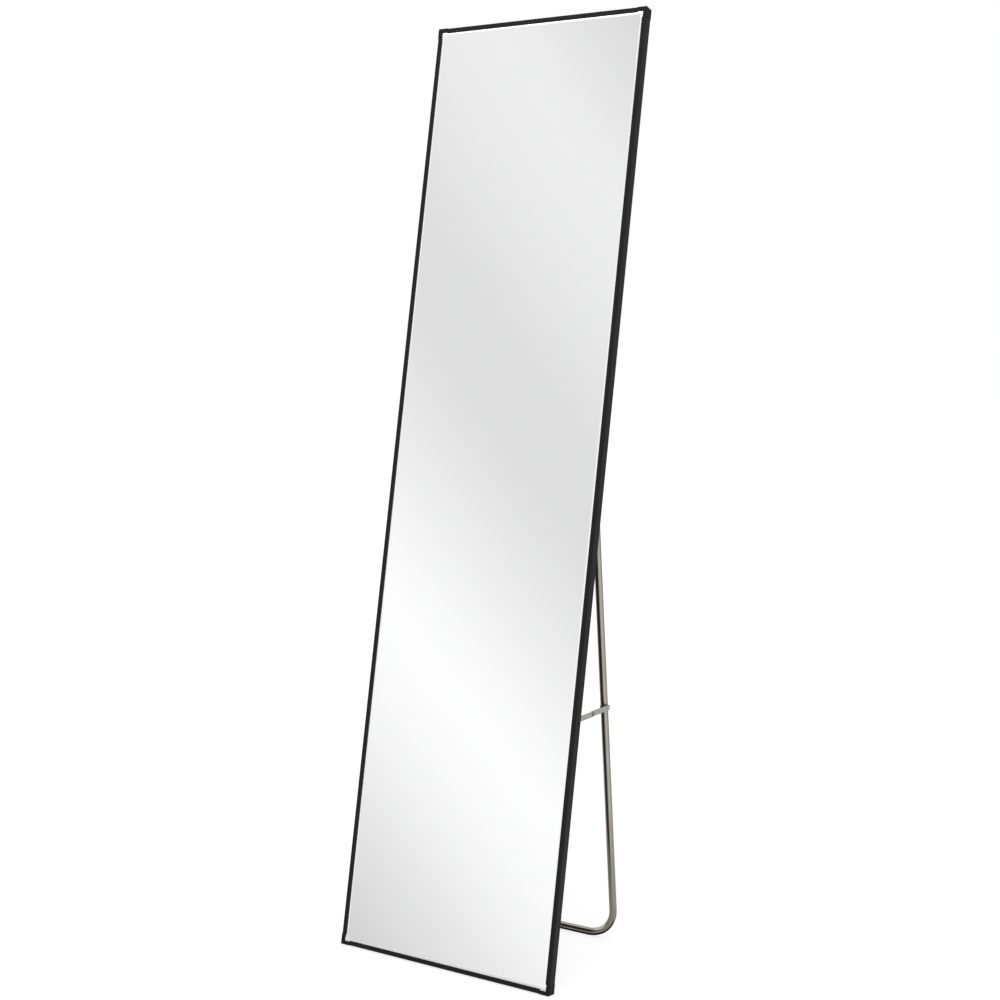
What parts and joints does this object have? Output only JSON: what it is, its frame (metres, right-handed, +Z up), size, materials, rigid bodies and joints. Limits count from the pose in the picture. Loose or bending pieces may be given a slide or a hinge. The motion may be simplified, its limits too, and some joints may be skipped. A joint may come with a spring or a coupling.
{
  "type": "full-length leaning mirror",
  "caption": "Tall narrow floor mirror in a slim black aluminium frame with moulded corners, leaning on a folding U-shaped tube stand held by folding stays.",
  "frame": {"origin": "on the floor, in the middle of the box that the mirror fills when it stands open", "axes": "+Z up, +X to the right as seen from the front, the mirror faces -Y and leans back towards +Y"},
  "size_m": [0.3776, 0.2672, 1.4829],
  "materials": {
    "black_aluminium": "black anodised, satin",
    "corner_plastic": "black moulded plastic, fine texture",
    "mirror": "silvered float glass with a ground edge",
    "film": "grey safety film",
    "foam": "white foam sheet",
    "backing_board": "dark faced hardboard",
    "plated_tube": "satin nickel plating",
    "zinc_steel": "zinc plated strip",
    "steel_fasteners": "plated",
    "rivet_aluminium": "plain",
    "nylon": "natural nylon",
    "plug_plastic": "black"
  },
  "bodies": {
    "frame": {"left_stile": "black_aluminium", "right_stile": "black_aluminium", "top_rail": "black_aluminium", "bottom_rail": "black_aluminium", "corner_top_left": "corner_plastic", "corner_top_right": "corner_plastic", "corner_bottom_left": "corner_plastic", "corner_bottom_right": "corner_plastic", "corner_screws": "steel_fasteners", "mirror_glass": "mirror", "safety_film": "film", "foam_sheet": "foam", "back_panel": "backing_board", "hanger_plate_left": "zinc_steel", "hanger_plate_right": "zinc_steel", "hanger_screws": "steel_fasteners", "hinge_plate_left": "zinc_steel", "hinge_plate_right": "zinc_steel", "hinge_plate_rivets": "rivet_aluminium", "hinge_bolt_left": "steel_fasteners", "hinge_bolt_right": "steel_fasteners", "hinge_washers": "nylon", "hinge_nuts": "steel_fasteners", "stay_frame_rivets": "steel_fasteners"},
    "stand": {"stand_tube": "plated_tube", "tube_plugs": "plug_plastic", "leg_rivets": "steel_fasteners"},
    "inner_link_left": {"stay_inner_link_left": "zinc_steel", "knee_head_left": "steel_fasteners"},
    "inner_link_right": {"stay_inner_link_right": "zinc_steel", "knee_head_right": "steel_fasteners"},
    "outer_link_left": {"stay_outer_link_left": "zinc_steel", "knee_tail_left": "steel_fasteners"},
    "outer_link_right": {"stay_outer_link_right": "zinc_steel", "knee_tail_right": "steel_fasteners"}
  },
  "joints": [
    {"name": "stand_fold", "type": "hinge", "parent": "frame", "child": "stand", "pos_m": [0, 0.01304, 0.73499], "axis": [-1, 0, 0], "range_deg": [0, 18.2]},
    {"name": "stay_inner_left", "type": "hinge", "parent": "frame", "child": "inner_link_left", "pos_m": [-0.18025, -0.05412, 0.39998], "axis": [1, 0, 0], "range_deg": [0, 73.3]},
    {"name": "stay_outer_left", "type": "hinge", "parent": "stand", "child": "outer_link_left", "pos_m": [-0.17845, 0.06462, 0.39792], "axis": [-1, 0, 0], "range_deg": [0, 78]},
    {"name": "stay_inner_right", "type": "hinge", "parent": "frame", "child": "inner_link_right", "pos_m": [0.18025, -0.05412, 0.39998], "axis": [1, 0, 0], "range_deg": [0, 73.3]},
    {"name": "stay_outer_right", "type": "hinge", "parent": "stand", "child": "outer_link_right", "pos_m": [0.17845, 0.06462, 0.39792], "axis": [-1, 0, 0], "range_deg": [0, 78]}
  ],
  "couplings": [
    {"joint": "stay_inner_left", "follows": "stand_fold", "ratio": 4.0271},
    {"joint": "stay_outer_left", "follows": "stand_fold", "ratio": 4.2838},
    {"joint": "stay_inner_right", "follows": "stand_fold", "ratio": 4.0271},
    {"joint": "stay_outer_right", "follows": "stand_fold", "ratio": 4.2838}
  ]
}
